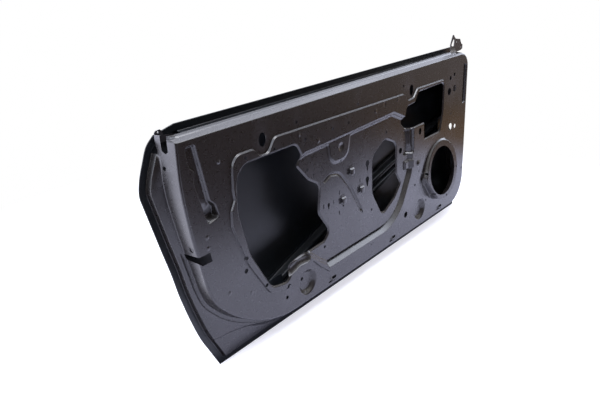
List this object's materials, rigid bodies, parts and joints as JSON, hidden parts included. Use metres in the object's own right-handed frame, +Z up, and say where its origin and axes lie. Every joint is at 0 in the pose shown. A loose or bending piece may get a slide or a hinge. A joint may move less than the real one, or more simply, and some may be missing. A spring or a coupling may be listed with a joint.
{
  "type": "car door shell",
  "caption": "Bare pressed-steel front door shell of a coupe: skin, inner panel, belt strips, side beam and hinge plates, with no window frame, trim, glass or lock.",
  "frame": {"origin": "middle of the upper hinge's seat, on the hinge wall at the front end of the inner panel", "axes": "+X runs forward along the door from the latch end to the hinge end, +Y points out of the car, away from the cabin, +Z is up as the door hangs"},
  "size_m": [1.406, 0.1316, 0.629],
  "materials": {
    "panel_e_coat": "dark grey e-coat over zinc, satin",
    "black_e_coat": "black e-coat, satin",
    "zinc_steel": "zinc-plated steel, satin"
  },
  "bodies": {
    "root": {"inner_panel": "panel_e_coat", "mirror_bracket": "panel_e_coat", "latch_reinforcement": "panel_e_coat", "handle_reinforcement": "panel_e_coat", "upper_hinge_reinforcement": "panel_e_coat", "lower_hinge_reinforcement": "panel_e_coat", "front_glass_guide": "panel_e_coat", "outer_skin": "black_e_coat", "outer_belt_reinforcement": "black_e_coat", "inner_belt_reinforcement": "black_e_coat", "side_impact_beam": "black_e_coat", "beam_front_bracket": "black_e_coat", "beam_rear_bracket": "black_e_coat", "rear_belt_lug": "black_e_coat", "upper_hinge_nut_plate": "zinc_steel", "lower_hinge_nut_plate": "zinc_steel", "check_strap_plate": "zinc_steel", "cage_nut_1": "zinc_steel", "cage_nut_2": "zinc_steel", "cage_nut_3": "zinc_steel"}
  },
  "joints": []
}
